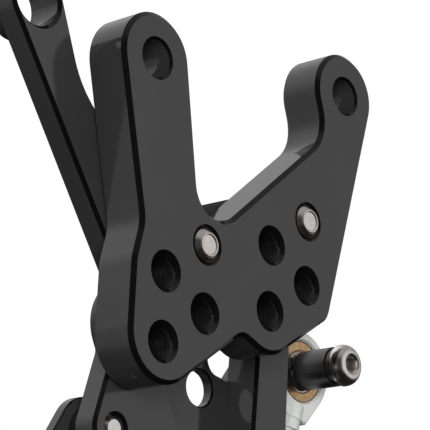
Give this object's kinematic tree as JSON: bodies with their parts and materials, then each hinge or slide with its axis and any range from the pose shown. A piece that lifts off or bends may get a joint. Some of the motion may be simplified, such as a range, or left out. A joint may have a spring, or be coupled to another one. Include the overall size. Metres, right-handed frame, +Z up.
{
  "type": "motorcycle foot peg assembly",
  "caption": "Left-hand adjustable rear-set foot peg: frame bracket, hanger plate, folding peg, gear lever with ball-jointed link rod, folding toe peg and heel guard.",
  "frame": {"origin": "centre of the rear frame-bolt hole, at the bracket's inboard face (0.6 mm inside it, where the hole's bevel ends)", "axes": "+X forward along the line of the two frame-bolt holes, +Y outboard along the hole and towards the rider's foot, +Z up"},
  "size_m": [0.192, 0.1687, 0.2021],
  "materials": {
    "black_anodised": "satin black anodised",
    "stainless": "turned, lightly polished",
    "zinc_plate": "bright zinc over a cast surface",
    "bronze": "machined bearing bronze",
    "polished_steel": "ground and polished",
    "black_steel": "satin black oxide",
    "spring_steel": "plain drawn wire",
    "black_rubber": "grooved, matte",
    "black_plastic": "fine matte"
  },
  "bodies": {
    "root": {"frame_bracket": "black_anodised", "hanger_plate": "black_anodised", "adjuster_bolts": "stainless", "adjuster_washers": "stainless", "heel_guard": "black_anodised", "guard_spacers": "black_steel", "guard_screws": "stainless", "pivot_bolt": "stainless", "pivot_sleeve": "stainless", "thrust_washers": "stainless", "peg_clevis": "black_anodised", "hinge_pin": "stainless", "pin_clip": "spring_steel", "peg_spring": "spring_steel"},
    "foot_peg": {"foot_peg": "black_anodised", "peg_end_plug": "black_plastic", "peg_end_screw": "stainless"},
    "gear_lever": {"gear_lever": "black_anodised", "lever_bush": "bronze", "link_bolt": "stainless", "link_spacer": "black_steel", "link_washer": "black_steel", "link_inner_washer": "stainless", "upper_ball": "polished_steel", "toe_spring": "spring_steel"},
    "toe_peg": {"toe_peg": "black_anodised", "toe_sleeve": "black_rubber", "toe_end_screw": "stainless", "toe_pivot_pin": "stainless"},
    "shift_rod": {"upper_rod_end": "zinc_plate", "upper_race": "bronze", "upper_jam_nut": "zinc_plate", "shift_rod": "black_anodised", "lower_jam_nut": "zinc_plate", "lower_rod_end": "zinc_plate", "lower_race": "bronze"},
    "lower_ball": {"lower_ball": "polished_steel"}
  },
  "joints": [
    {"name": "peg_fold", "type": "hinge", "parent": "root", "child": "foot_peg", "pos_m": [0.024, 0.0677, -0.122], "axis": [1, 0, 0], "range_deg": [0, 85], "stiffness_Nm_per_rad": 0.1, "springref_deg": -17.19, "deforming": ["peg_spring"]},
    {"name": "lever_swing", "type": "hinge", "parent": "root", "child": "gear_lever", "pos_m": [0.024, 0.0356, -0.122], "axis": [0, 1, 0], "range_deg": [-5, 5]},
    {"name": "toe_fold", "type": "hinge", "parent": "gear_lever", "child": "toe_peg", "pos_m": [0.1465, 0.0406, -0.126], "axis": [0, 0, 1], "range_deg": [0, 45], "stiffness_Nm_per_rad": 0.03, "springref_deg": -17.19, "deforming": ["toe_spring"]},
    {"name": "rod_swing", "type": "hinge", "parent": "gear_lever", "child": "shift_rod", "pos_m": [0.0699, 0.0246, -0.0675], "axis": [0, -1, 0], "range_deg": [-5, 150]},
    {"name": "lower_ball_turn", "type": "hinge", "parent": "shift_rod", "child": "lower_ball", "pos_m": [0.03229, 0.0246, -0.17087], "axis": [0, 1, 0], "continuous": true}
  ]
}
